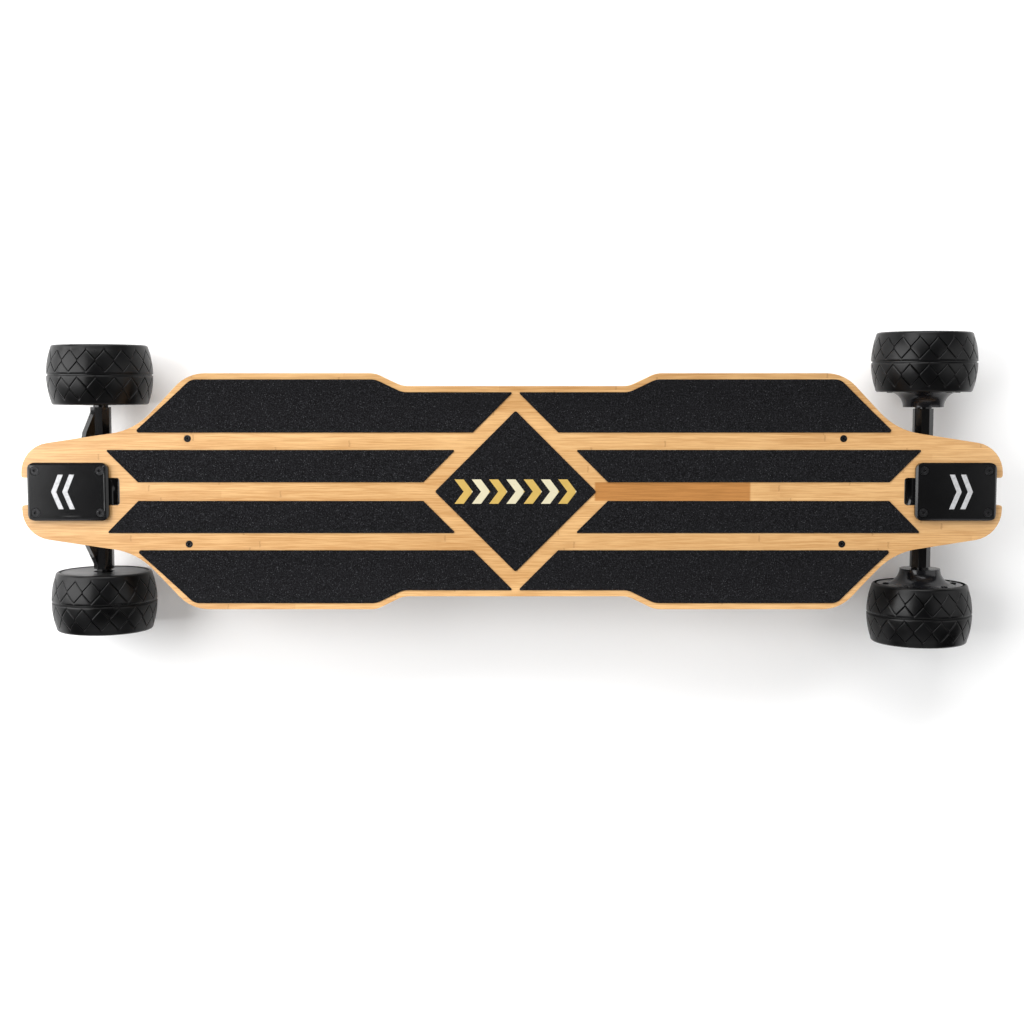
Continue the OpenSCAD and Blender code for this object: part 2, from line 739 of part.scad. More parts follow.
// The inner cover: a disc that flares in a concave cone down to a narrow neck.
module motor_cover() {
  difference() {
    rotate_extrude($fn = 96) difference() {
      union() {
        translate([0, cover_z]) square([cover_d / 2, cover_t]);
        difference() {
          translate([0, neck_z]) square([cone_base_d / 2, flare_r + 0.1]);
          translate([cone_base_d / 2, neck_z]) circle(r = flare_r, $fn = 96);
        }
      }
      translate([-1, motor_bearing_z[0]]) square([rear_bearing[1] / 2 + 1, rear_bearing[2]]);
      translate([-1, neck_z - 1]) square([10, 60]);
      translate([-1, motor_bearing_z[0] + rear_bearing[2] - 0.01]) square([12, 60]);
    }
    for (i = [0:cover_screws - 1]) rotate([0, 0, 360 / cover_screws * i])
      translate([cover_screw_r, 0, 0]) {
        translate([0, 0, cover_z - 1]) cylinder(d = 3.4, h = 10, $fn = 24);
        translate([0, 0, neck_z]) cylinder(d = 7, h = flare_r + 0.8, $fn = 32);
      }
  }
}

module rear_cover_screws() {
  for (i = [0:cover_screws - 1]) rotate([0, 0, 360 / cover_screws * i])
    translate([cover_screw_r, 0, cover_z + 0.8 - 2]) rotate([180, 0, 0])
      socket_bolt(5.6, 2, 3, 6, 2.6);
}

module stator() {
  tooth = 7;
  hub_z = [-20, motor_bearing_z[1] - 1];
  stack_z = [-16, motor_bearing_z[1] - 2.5];
  difference() {
    union() {
      translate([0, 0, stack_z[0]]) linear_extrude(height = stack_z[1] - stack_z[0]) difference() {
        circle(d = stator_d);
        for (i = [0:stator_teeth - 1]) rotate([0, 0, 360 / stator_teeth * (i + 0.5)]) {
          translate([stator_d / 4 - 1, -tooth / 4]) square([stator_d / 4 - 3, tooth / 2]);
          translate([stator_d / 2 - 6, -0.8]) square([8, 1.6]);
        }
      }
      translate([0, 0, hub_z[0]]) cylinder(d = 24, h = hub_z[1] - hub_z[0]);
    }
    translate([0, 0, -21]) cylinder(d = rear_axle_d, h = 42);
  }
}

module rear_tyre_at(side) {
  color("Black") at_wheel(1, side, rear_wheel_y) tyre(rotor_d, cover_d);
}
module rotor_at(side) { color("DimGray") at_wheel(1, side, rear_wheel_y) rotor(); }
module cover_at(side) { color("Black") at_wheel(1, side, rear_wheel_y) motor_cover(); }
module screws_at(side) {
  color("Silver") at_wheel(1, side, rear_wheel_y) rear_cover_screws();
}
module motor_bearings_at(side) {
  color("Silver") at_wheel(1, side, rear_wheel_y)
    bearing_pair(rear_bearing, motor_bearing_z[0], motor_bearing_z[1]);
}
module stator_at(side) { color("Peru") at_wheel(1, side, rear_wheel_y) stator(); }

module rear_left_tyre() { rear_tyre_at(-1); }
module rear_left_rotor() { rotor_at(-1); }
module rear_left_cover() { cover_at(-1); }
module rear_left_screws() { screws_at(-1); }
module rear_left_bearings() { motor_bearings_at(-1); }
module rear_left_stator() { stator_at(-1); }
module rear_right_tyre() { rear_tyre_at(1); }
module rear_right_rotor() { rotor_at(1); }
module rear_right_cover() { cover_at(1); }
module rear_right_screws() { screws_at(1); }
module rear_right_bearings() { motor_bearings_at(1); }
module rear_right_stator() { stator_at(1); }

// ---------------------------------------------------------------- battery box

module box_outline(inset) {
  x = box_end - inset;
  y = side_y - inset;
  c = box_corner;
  polygon(rounded([[x, y - c, 6], [x - c, y, 6], [-x + c, y, 6], [-x, y - c, 6],
    [-x, -y + c, 6], [-x + c, -y, 6], [x - c, -y, 6], [x, -y + c, 6]]));
}

module battery_box() {
  color("DimGray") difference() {
    union() {
      difference() {
        upright(box_size[2], box_low) box_outline(0);
        upright(box_size[2], box_low + box_wall) box_outline(box_wall);
      }
      intersection() {
        at_deck_bolts() upright(box_size[2], box_low) circle(d = 15);
        upright(box_size[2], box_low) box_outline(0.2);
      }
    }
    at_deck_bolts() upright(60, box_low - 10) circle(d = bolt_d + 0.4, $fn = 24);
    at_deck_bolts() upright(10, box_low - 6) circle(d = 11, $fn = 32);
    for (x = [charge_x, button_x])
      translate([x, -side_y + 10, control_z]) rotate([90, 0, 0])
        cylinder(d = 17, h = 20);
    for (s = [-1, 1]) translate([box_end - 10, s * 20, control_z])
      rotate([0, 90, 0]) cylinder(d = 12, h = 20);
    for (x = [-240:20:240]) translate([x - 1.5, -34, box_low - 1])
      cube([3, 68, 1.8]);
  }
}

module box_seal() {
  color("Black") difference() {
    upright(seal_t, deck_low - seal_t) difference() {
      box_outline(0);
      box_outline(seal_w);
    }
    at_deck_bolts() upright(60, deck_low - 20) circle(d = bolt_d + 0.4, $fn = 24);
  }
}

module deck_bolts() {
  shank_l = deck_t - 3 + seal_t + box_size[2] - 4;
  color("Black") at_deck_bolts() {
    translate([0, 0, deck_top - 0.2])
      socket_bolt(head_d - 2, 2.8, bolt_d, shank_l, 3);
    translate([0, 0, box_low + 0.2]) nut(8, bolt_d, 3.8);
  }
}

module each_cell() {
  for (i = [0:cell_rows - 1], j = [0:cells_across - 1])
    translate([cells_x + i * cell_pitch[0],
      (j - (cells_across - 1) / 2) * cell_pitch[1], cell_z])
      rotate([0, 90, 0])
        children();
}

module battery_cells() {
  color("RoyalBlue") each_cell() cylinder(d = cell_d, h = cell_l);
}

module cell_holders() {
  block_w = cells_across * cell_pitch[1] + 4;
  low = box_low + box_wall;
  color("Black") difference() {
    for (i = [0:cell_rows - 1], e = [0, 1])
      translate([cells_x + i * cell_pitch[0] + e * (cell_l - holder_l + 1) - 0.5,
        -block_w / 2, low])
        cube([holder_l, block_w, cell_d + 2.4]);
    each_cell() translate([0, 0, -1]) cylinder(d = cell_d, h = cell_l + 2);
  }
}

module battery_board() {
  low = box_low + box_wall;
  color("DarkGreen") {
    translate([board_x, -board[1] / 2, low + 4]) cube(board);
    for (i = [0:3]) translate([board_x + 8, -38 + i * 20, low + 4 + board[2]])
      cube([28, 12, 5]);
    for (sx = [4, board[0] - 4], sy = [-1, 1])
      translate([board_x + sx, sy * (board[1] / 2 - 4), low])
        cylinder(d = 5, h = 4.2, $fn = 24);
  }
}

module heat_spreader() {
  color("Silver") translate([controller_x, -spreader[1] / 2, box_low + box_wall]) difference() {
    cube(spreader);
    for (i = [0:6]) translate([8 + i * 12, -1, 3]) cube([6, 7, 3]);
  }
}

module motor_controller() {
  low = box_low + box_wall + spreader[2];
  color("DarkGreen") {
    translate([controller_x + 3, -42, low]) cube([spreader[0] - 6, 84, board[2] + 0.4]);
    for (i = [0:2], s = [-1, 1])
      translate([controller_x + 10 + i * 15, s * 26 - 7, low + board[2]])
        cube([10, 14, 4.5]);
    for (i = [0:3]) translate([controller_x + 62, -27 + i * 18, low + 9])
      rotate([0, 90, 0]) cylinder(d = 15, h = 24, $fn = 48);
    translate([controller_x + 62, -34, low + board[2]]) cube([24, 68, 3]);
  }
}

// ---------------------------------------------------------------- controls

// Puts a control, drawn with +Z pointing out of the box's side, at x.
module on_side(x) {
  translate([x, -side_y, control_z]) rotate([90, 0, 0]) children();
}

housing_l = 12;
button_l = 7;
module button_housing() {
  color("Black") on_side(button_x) difference() {
    union() {
      cylinder(d = 21, h = 2);
      translate([0, 0, -housing_l]) cylinder(d = 17, h = housing_l + 1);
    }
    translate([0, 0, -button_l]) cylinder(d = button_d + 2 * run_fit, h = 20);
  }
}

module power_button() {
  color("Silver") on_side(button_x)
    translate([0, 0, 3.4 - button_l - 1]) difference() {
      cylinder(d = button_d, h = button_l + 1);
      translate([0, 0, button_l + 0.6]) ring_solid(7, 5.4, 1);
    }
}

// The charge socket with its cap's hinge pin standing upright beside it.
module at_socket() {
  on_side(charge_x) rotate([0, 0, 90]) children();
}

pin_y = 12.5;
pin_z = 4;
cap_d = 18;
module charge_socket() {
  color("Black") at_socket() difference() {
    union() {
      cylinder(d = 21, h = 2);
      translate([0, 0, -housing_l]) cylinder(d = 17, h = housing_l + 1);
      translate([0, 0, -housing_l]) cylinder(d = 2.4, h = housing_l - 1);
      for (s = [-1, 1]) translate([s * 5 - 1.25, 0, 0]) {
        translate([0, 6, 0]) cube([2.5, pin_y - 3.5, 2]);
        translate([0, cap_d / 2 + 0.6, 0]) cube([2.5, pin_y - cap_d / 2 + 1.9, pin_z + 2]);
      }
    }
    difference() {
      translate([0, 0, -housing_l + 2]) cylinder(d = socket_d, h = 20);
      translate([0, 0, -housing_l]) cylinder(d = 2.4, h = housing_l - 1);
    }
    translate([0, pin_y, pin_z]) rotate([0, 90, 0]) cylinder(d = 2, h = 30, center = true);
  }
}

module cap_pin() {
  color("Silver") at_socket() translate([0, pin_y, pin_z]) rotate([0, 90, 0])
    cylinder(d = 2, h = 12.5, center = true);
}

module charge_cap() {
  color("DimGray") at_socket() difference() {
    union() {
      translate([0, 0, 2 + air]) cylinder(d = cap_d, h = 2.2);
      translate([-3, 0, 2 + air]) cube([6, pin_y, 2.2]);
      translate([0, pin_y, pin_z]) rotate([0, 90, 0])
        cylinder(d = 2 * (pin_z - 2 - air), h = 6.4, center = true);
      translate([-3, -10.5, 2 + air]) cube([6, 4, 2.2]);
    }
    translate([0, pin_y, pin_z]) rotate([0, 90, 0])
      cylinder(d = 2 + 2 * run_fit, h = 30, center = true);
  }
}

module cable_glands() {
  color("Black") for (s = [-1, 1]) translate([box_end, s * 20, control_z])
    rotate([0, 90, 0]) difference() {
      union() {
        cylinder(d = 16 / cos(30), h = 5, $fn = 6);
        translate([0, 0, -box_wall - 6]) cylinder(d = 12, h = box_wall + 7);
        translate([0, 0, 4]) cylinder(d = 12, h = 7);
      }
      translate([0, 0, -20]) cylinder(d = cable_d, h = 40);
    }
}

// ---------------------------------------------------------------- the nodes

deck();
grip_diamond();
grip_outer_front();
grip_outer_rear();
grip_inner_front();
grip_inner_rear();
diamond_emblem();
plate_emblems();
front_baseplate();
rear_baseplate();
truck_bolts();
truck_nuts();
front_kingpin();
rear_kingpin();
kingpin_nuts();
bushing_washers();
front_upper_bushing();
front_lower_bushing();
rear_upper_bushing();
rear_lower_bushing();
front_pivot_cup();
rear_pivot_cup();
front_hanger();
rear_hanger();
front_axle();
rear_axle();
front_axle_nuts();
front_speed_rings();
front_left_tyre();
front_left_core();
front_left_bearings();
front_right_tyre();
front_right_core();
front_right_bearings();
rear_left_tyre();
rear_left_rotor();
rear_left_cover();
rear_left_screws();
rear_left_bearings();
rear_left_stator();
rear_right_tyre();
rear_right_rotor();
rear_right_cover();
rear_right_screws();
rear_right_bearings();
rear_right_stator();
in_middle() battery_box();
in_middle() box_seal();
in_middle() deck_bolts();
in_middle() battery_cells();
in_middle() cell_holders();
in_middle() battery_board();
in_middle() motor_controller();
in_middle() heat_spreader();
in_middle() power_button();
in_middle() button_housing();
in_middle() charge_socket();
in_middle() charge_cap();
in_middle() cap_pin();
in_middle() cable_glands();
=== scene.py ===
"""Electric skateboard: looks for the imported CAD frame, laid out as an add-on."""

import json
import math

import bmesh
import bpy
from bpy.props import FloatProperty, FloatVectorProperty, IntProperty, PointerProperty
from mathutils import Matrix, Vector

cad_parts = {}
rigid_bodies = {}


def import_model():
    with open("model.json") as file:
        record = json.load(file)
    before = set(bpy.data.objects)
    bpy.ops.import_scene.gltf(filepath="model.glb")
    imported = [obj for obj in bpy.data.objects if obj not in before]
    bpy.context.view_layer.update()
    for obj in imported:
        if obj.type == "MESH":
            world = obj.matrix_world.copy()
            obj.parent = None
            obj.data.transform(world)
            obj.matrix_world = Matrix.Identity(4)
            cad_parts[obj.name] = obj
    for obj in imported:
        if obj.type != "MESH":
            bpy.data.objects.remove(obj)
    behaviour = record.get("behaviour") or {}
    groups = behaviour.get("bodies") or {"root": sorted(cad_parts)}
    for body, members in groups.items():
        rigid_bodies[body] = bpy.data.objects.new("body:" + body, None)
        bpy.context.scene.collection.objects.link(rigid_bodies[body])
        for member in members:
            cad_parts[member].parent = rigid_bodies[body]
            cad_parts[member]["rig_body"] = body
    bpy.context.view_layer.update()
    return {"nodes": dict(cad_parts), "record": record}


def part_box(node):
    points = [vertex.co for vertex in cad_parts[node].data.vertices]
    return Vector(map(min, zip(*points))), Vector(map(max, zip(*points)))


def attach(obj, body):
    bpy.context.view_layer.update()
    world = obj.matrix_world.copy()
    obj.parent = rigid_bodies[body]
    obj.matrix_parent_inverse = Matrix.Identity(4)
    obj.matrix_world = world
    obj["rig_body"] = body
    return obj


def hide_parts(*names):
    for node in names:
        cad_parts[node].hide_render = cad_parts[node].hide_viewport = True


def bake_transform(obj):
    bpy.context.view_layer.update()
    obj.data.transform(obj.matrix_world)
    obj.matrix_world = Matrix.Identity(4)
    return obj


bl_info = {
    "name": "Electric Skateboard",
    "version": (1, 0, 0),
    "blender": (4, 5, 0),
    "location": "View3D > Sidebar > Skateboard",
    "description": "Builds the finished pieces of an electric skateboard on its CAD frame",
    "category": "Object",
}

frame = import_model()
NODES = frame["nodes"]
DECK_LOW, DECK_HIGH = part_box("deck")
FLAT_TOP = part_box("grip_inner_front")[0].z
DECK_T = FLAT_TOP - DECK_LOW.z
MIDDLE_X = (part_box("grip_diamond")[0].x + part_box("grip_diamond")[1].x) / 2
# half-width of the deck's flat middle, beyond which it bends up on a parabola
FLAT_HALF_W = 0.068
BEND_R = (DECK_HIGH.y - FLAT_HALF_W) ** 2 / (2 * (DECK_HIGH.z - FLAT_TOP))
# half-width of the truck slots with their rounded mouths, where the edge is barely rounded,
# and the width over which the rounding grows to its full size
SLOT_HALF_W = 0.0165
SLOT_FADE = 0.008
SLOT_ROUND = 0.1
# the brown inlay's half-width, and its ends measured from the diamond's middle
INLAY_HALF_W = 0.0092
INLAY_START, INLAY_END = 0.078, 0.231
# lengths of one bamboo plank and from one knuckle of the cane to the next
PLANK_L = 0.55
KNUCKLE_PITCH = 0.31
# the diamond's motif: width of one chevron and the steps from the first to the last
CHEVRON_W = 0.018
CHEVRON_STEPS = 6
# inner radius of each tyre where it sits on its core or rotor
TYRE_SEAT_R = {"front": 0.038, "rear": 0.043}
TYRE_LIP = 0.004
CROWN_GROOVE_DEPTH = 0.0012
# where the tread starts beside the crown groove and ends short of the tyre's side
TREAD_START, TREAD_MARGIN = 0.0028, 0.0055
# distance from a bushing's middle to each of its clamped ends
BUSHING_REACH = 0.0072
SIDES = ("left", "right")
ENDS = ("front", "rear")


def body_of(node):
    """The body that a CAD node belongs to."""
    return NODES[node]["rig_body"]


# ------------------------------------------------------------------ settings


def colour(name, text, value):
    return FloatVectorProperty(
        name=name, description=text, default=value, size=3, subtype="COLOR", min=0, max=1
    )


def length(name, text, value):
    return FloatProperty(name=name, description=text, default=value, min=0, unit="LENGTH")


class SkateSizes(bpy.types.PropertyGroup):
    """Sizes of the details that the frame leaves to the finished pieces."""

    deck_round: length("Deck edge", "Rounding of the deck's edges", 0.0035)
    casting_round: length("Casting edge", "Rounding of the cast parts' edges", 0.0009)
    moulding_round: length("Moulding edge", "Rounding of moulded edges", 0.0005)
    tread_periods: IntProperty(
        name="Tread crosses", description="Crosses round each half of a tyre", default=18, min=6
    )
    tread_columns: IntProperty(
        name="Columns", description="Mesh columns in one tread cross", default=30, min=8
    )
    tread_jog_rows: IntProperty(
        name="Jog", description="Mesh rows where two crossing grooves run straight", default=3
    )
    groove_depth: length("Groove depth", "Depth of the tread's thin grooves", 0.0011)
    crown_groove: length("Crown groove", "Width of the groove round the tyre's crown", 0.0018)
    tyre_corner: length("Tyre corner", "Radius of the tyre's outer corners", 0.003)
    crown_height: length("Crown height", "How far the shoulders lie below the crown", 0.0055)
    strip_width: length("Bamboo strip", "Width of one bamboo strip in the deck", 0.0062)
    ply: length("Ply", "Thickness of one ply of the deck", 0.0024)
    face_ply: length("Face ply", "Thickness of the bamboo face over the plies", 0.0006)
    grit: length("Grit", "Size of a grain of the grip sheet", 0.0009)


class SkateColours(bpy.types.PropertyGroup):
    """Base colours of the finishes."""

    bamboo_light: colour("Light bamboo", "Light strips of the deck", (0.68, 0.42, 0.187))
    bamboo_dark: colour("Dark bamboo", "Dark strips of the deck", (0.41, 0.203, 0.064))
    pale_ply: colour("Pale ply", "Pinkish plies that show on the deck's edge", (0.92, 0.64, 0.45))
    bamboo_brown: colour("Brown inlay", "Caramel inlay behind the diamond", (0.35, 0.145, 0.033))
    grip: colour("Grip", "Grip sheet", (0.0042, 0.0042, 0.0048))
    foil_gold: colour("Gold foil", "Darker foil of the diamond's motif", (0.62, 0.42, 0.11))
    foil_pale: colour("Pale foil", "Paler foil of the diamond's motif", (0.72, 0.66, 0.46))
    silver_print: colour("Silver print", "Chevrons on the truck plates", (0.50, 0.50, 0.51))
    casting: colour("Casting", "Powder coat of the trucks", (0.0028, 0.0028, 0.0031))
    rubber: colour("Rubber", "Tyres", (0.0012, 0.0012, 0.0014))
    urethane: colour("Urethane", "Bushings", (0.03, 0.03, 0.034))
    steel: colour("Steel", "Bright steel", (0.58, 0.58, 0.60))
    motor: colour("Motor", "Anodised motor casings", (0.008, 0.008, 0.0095))
    box: colour("Box", "Battery box", (0.016, 0.016, 0.017))
    floor: colour("Floor", "Studio floor", (0.90, 0.90, 0.90))


def sizes():
    return bpy.context.scene.skate_sizes


def colours():
    return bpy.context.scene.skate_colours


# ----------------------------------------------------------------- materials


class Finish:
    """A procedural material that is being put together."""

    def __init__(self, name, rough=0.5, metal=0.0):
        self.material = bpy.data.materials.new(name + "_finish")
        self.material.use_nodes = True
        self.tree = self.material.node_tree
        self.tree.nodes.clear()
        self.shader = self.node("ShaderNodeBsdfPrincipled")
        self.set("Roughness", rough)
        self.set("Metallic", metal)
        out = self.node("ShaderNodeOutputMaterial")
        self.tree.links.new(self.shader.outputs["BSDF"], out.inputs["Surface"])
        self.place = self.node("ShaderNodeTexCoord").outputs["Object"]

    def node(self, kind, **settings):
        made = self.tree.nodes.new(kind)
        for key, value in settings.items():
            setattr(made, key, value)
        return made

    def feed(self, socket, value):
        if isinstance(value, bpy.types.NodeSocket):
            self.tree.links.new(value, socket)
        elif value is not None:
            socket.default_value = value

    def set(self, socket, value):
        """Gives a shader socket a constant or a link."""
        if not isinstance(value, bpy.types.NodeSocket) and hasattr(value, "__len__"):
            value = (*value, 1.0)
        self.feed(self.shader.inputs[socket], value)

    def math(self, operation, a, b=None, c=None):
        made = self.node("ShaderNodeMath", operation=operation)
        for socket, value in zip(made.inputs, (a, b, c)):
            self.feed(socket, value)
        return made.outputs[0]

    def mix(self, factor, a, b, blend="MIX"):
        made = self.node("ShaderNodeMix", data_type="RGBA", blend_type=blend)
        for index, value in ((0, factor), (6, a), (7, b)):
            if not isinstance(value, bpy.types.NodeSocket) and hasattr(value, "__len__"):
                value = (*value, 1.0)
            self.feed(made.inputs[index], value)
        return made.outputs[2]

    def axes(self):
        made = self.node("ShaderNodeSeparateXYZ")
        self.feed(made.inputs[0], self.place)
        return made.outputs

    def vector(self, x, y=0.0, z=0.0):
        made = self.node("ShaderNodeCombineXYZ")
        for socket, value in zip(made.inputs, (x, y, z)):
            self.feed(socket, value)
        return made.outputs[0]

    def noise(self, scale, detail=3.0, stretch=(1, 1, 1), vector=None, rough=0.55):
        """Noise with so many features to a metre, drawn out along an axis by stretch."""
        mapping = self.node("ShaderNodeMapping")
        mapping.inputs["Scale"].default_value = stretch
        self.feed(mapping.inputs["Vector"], vector or self.place)
        made = self.node("ShaderNodeTexNoise")
        self.feed(made.inputs["Vector"], mapping.outputs[0])
        self.feed(made.inputs["Scale"], scale)
        self.feed(made.inputs["Detail"], detail)
        self.feed(made.inputs["Roughness"], rough)
        return made.outputs["Fac"]

    def cells(self, scale, kind="Distance"):
        made = self.node("ShaderNodeTexVoronoi")
        self.feed(made.inputs["Vector"], self.place)
        self.feed(made.inputs["Scale"], scale)
        return made.outputs[kind]

    def random(self, vector):
        made = self.node("ShaderNodeTexWhiteNoise", noise_dimensions="3D")
        self.feed(made.inputs["Vector"], vector)
        return made.outputs["Value"]

    def span(self, value, low, high, to_low=0.0, to_high=1.0):
        """Maps value from low..high to to_low..to_high, smoothly and clamped."""
        made = self.node("ShaderNodeMapRange", interpolation_type="SMOOTHSTEP")
        for socket, given in zip(made.inputs, (value, low, high, to_low, to_high)):
            self.feed(socket, given)
        return made.outputs[0]

    def within(self, value, low, high, soft):
        """1 where value lies between low and high, with soft edges."""
        up = self.span(value, low - soft, low + soft)
        down = self.span(value, high - soft, high + soft, 1.0, 0.0)
        return self.math("MULTIPLY", up, down)

    def bump(self, height, distance, strength=1.0):
        made = self.node("ShaderNodeBump")
        made.inputs["Strength"].default_value = strength
        made.inputs["Distance"].default_value = distance
        self.feed(made.inputs["Height"], height)
        self.set("Normal", made.outputs[0])


def darker(shade, by):
    return tuple(channel * by for channel in shade)


def bamboo():
    """Lacquered bamboo: strips and fibres run along the board, plies show on its edge."""
    c, s = colours(), sizes()
    f = Finish("bamboo", rough=0.33)
    x, y, z = f.axes()[:3]
    wobble = f.math("MULTIPLY", f.math("SUBTRACT", f.noise(3.0, 2, (1, 0.4, 1)), 0.5), 0.0035)
    across = f.math("ADD", y, wobble)
    row = f.math("FLOOR", f.math("DIVIDE", across, s.strip_width))
    shift = f.math("MULTIPLY", f.random(f.vector(row, 3.7)), PLANK_L)
    along = f.math("DIVIDE", f.math("ADD", x, shift), PLANK_L)
    plank = f.math("FLOOR", along)
    tone = f.random(f.vector(row, plank, 1.3))
    broad = f.noise(5.0, 3, (1, 5, 1))
    fibre = f.noise(26.0, 8, (1, 34, 34), rough=0.68)
    thread = f.noise(60.0, 3, (1, 48, 48))
    planks = f.math("ADD", f.math("MULTIPLY", tone, 0.28),
                    f.math("MULTIPLY", f.span(broad, 0.35, 0.65), 0.22))
    light = f.math("ADD", f.math("MULTIPLY", f.span(fibre, 0.38, 0.62), 0.50), planks)
    wood = f.mix(light, tuple(c.bamboo_dark), tuple(c.bamboo_light))
    # knuckles: short dark bars where each strip has a joint
    knuckle_at = f.math("FRACT", f.math("ADD", f.math("DIVIDE", x, KNUCKLE_PITCH),
                                        f.random(f.vector(row, 9.1))))
    ragged = f.math("ADD", knuckle_at, f.math("MULTIPLY", f.noise(420.0, 2), 0.008))
    knuckle = f.within(ragged, 0.486, 0.490, 0.002)
    ring = f.within(knuckle_at, 0.450, 0.486, 0.02)
    wood = f.mix(f.math("MULTIPLY", knuckle, 0.5), wood, darker(c.bamboo_dark, 0.62))
    ring = f.math("MULTIPLY", f.math("MULTIPLY", ring, f.span(fibre, 0.42, 0.6)), 0.4)
    wood = f.mix(ring, wood, darker(c.bamboo_dark, 0.85))
    streak = f.span(thread, 0.60, 0.76)
    wood = f.mix(f.math("MULTIPLY", streak, 0.30), wood, darker(c.bamboo_dark, 0.70))
    seam_at = f.math("FRACT", f.math("DIVIDE", across, s.strip_width))
    seam = f.within(seam_at, 0.0, 0.05, 0.03)
    wood = f.mix(f.math("MULTIPLY", seam, 0.16), wood, darker(c.bamboo_dark, 0.55))
    # the caramel inlay in the middle strip behind the diamond
    inlay = f.math("MULTIPLY", f.within(y, -INLAY_HALF_W, INLAY_HALF_W, 0.0006),
                   f.within(x, MIDDLE_X + INLAY_START, MIDDLE_X + INLAY_END, 0.0012))
    brown = f.mix(light, darker(c.bamboo_brown, 0.72), darker(c.bamboo_brown, 1.25))
    wood = f.mix(f.math("MULTIPLY", inlay, 0.92), wood, brown)
    # plies on the edge, counted down from the bent top face
    out = f.math("MAXIMUM", f.math("SUBTRACT", f.math("ABSOLUTE", y), FLAT_HALF_W), 0.0)
    bent = f.math("MULTIPLY", f.math("MULTIPLY", out, out), 1 / (2 * BEND_R))
    depth = f.math("SUBTRACT", f.math("ADD", bent, FLAT_TOP), z)
    ply = f.math("FRACT", f.math("DIVIDE", f.math("SUBTRACT", depth, s.face_ply), 2 * s.ply))
    layer = f.within(ply, 0.0, 0.5, 0.04)
    edge_wood = f.mix(layer, tuple(c.bamboo_light), tuple(c.pale_ply))
    edge_wood = f.mix(f.math("MULTIPLY", f.span(fibre, 0.35, 0.65), 0.35), edge_wood,
                      tuple(c.bamboo_dark))
    glue = f.within(f.math("FRACT", f.math("MULTIPLY", ply, 2.0)), 0.0, 0.16, 0.04)
    edge_wood = f.mix(f.math("MULTIPLY", glue, 0.7), edge_wood, tuple(c.bamboo_brown))
    soft = 0.00006
    low_face = DECK_T - s.face_ply
    side = f.span(depth, s.face_ply - soft, s.face_ply + soft)
    bottom = f.span(depth, low_face - soft, low_face + soft)
    side = f.math("MULTIPLY", side, f.math("SUBTRACT", 1.0, bottom))
    f.set("Base Color", f.mix(side, wood, edge_wood))
    f.set("Roughness", f.span(fibre, 0.2, 0.8, 0.30, 0.42))
    f.set("Coat Weight", 0.35)
    f.set("Coat Roughness", 0.12)
    height = f.math("ADD", f.math("MULTIPLY", fibre, 0.6), f.math("MULTIPLY", seam, -0.5))
    f.bump(height, 0.00012, 0.5)
    return f.material


def grip_sheet():
    """Black grit: dark mottled sheet with sparse bright grains."""
    c, s = colours(), sizes()
    f = Finish("grip_sheet", rough=0.85)
    grain = f.cells(1 / s.grit)
    lot = f.random(f.cells(1 / s.grit, "Position"))
    fine = f.noise(950.0, 3, rough=0.7)
    patch = f.noise(42.0, 3)
    base = f.mix(f.span(fine, 0.44, 0.66), darker(c.grip, 0.5), darker(c.grip, 4.6))
    base = f.mix(f.math("MULTIPLY", f.span(patch, 0.3, 0.7), 0.35), base, darker(c.grip, 1.6))
    dot = f.span(grain, 0.22, 0.42, 1.0, 0.0)
    bright = f.math("MULTIPLY", dot, f.span(lot, 0.90, 0.98))
    faint = f.math("MULTIPLY", dot, f.span(lot, 0.55, 0.75))
    base = f.mix(f.math("MULTIPLY", faint, 0.45), base, (0.022, 0.023, 0.025))
    base = f.mix(f.math("MULTIPLY", bright, 0.7), base, (0.11, 0.114, 0.122))
    f.set("Base Color", base)
    f.set("Roughness", f.span(lot, 0.6, 1.0, 0.88, 0.45))
    f.set("Specular IOR Level", 0.08)
    f.bump(f.math("ADD", f.math("MULTIPLY", grain, -0.7), fine), 0.0005, 0.7)
    return f.material


def foil():
    """Two golds that take turns along the motif, lightly rubbed."""
    c = colours()
    f = Finish("gold_foil", rough=0.4, metal=0.3)
    low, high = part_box("diamond_emblem")
    pitch = (high.x - low.x - CHEVRON_W) / CHEVRON_STEPS
    step = f.math("FRACT", f.math("DIVIDE", f.math("SUBTRACT", f.axes()[0], low.x), 2 * pitch))
    pale = f.within(step, 0.5, 1.0, 0.01)
    rub = f.noise(260.0, 4)
    shade = f.mix(pale, tuple(c.foil_gold), tuple(c.foil_pale))
    worn = f.span(rub, 0.55, 0.8, 0.0, 0.35)
    f.set("Base Color", f.mix(worn, shade, darker(c.foil_gold, 0.6)))
    f.set("Roughness", f.span(rub, 0.3, 0.8, 0.28, 0.5))
    f.bump(f.noise(1500.0, 2), 0.0001, 0.4)
    return f.material


def silver_print():
    c = colours()
    f = Finish("silver_print", rough=0.4, metal=0.2)
    rub = f.noise(400.0, 4)
    f.set("Base Color", f.mix(f.span(rub, 0.35, 0.75), tuple(c.silver_print),
                              darker(c.silver_print, 0.72)))
    f.set("Roughness", f.span(rub, 0.3, 0.8, 0.35, 0.55))
    f.bump(rub, 0.00005, 0.4)
    return f.material


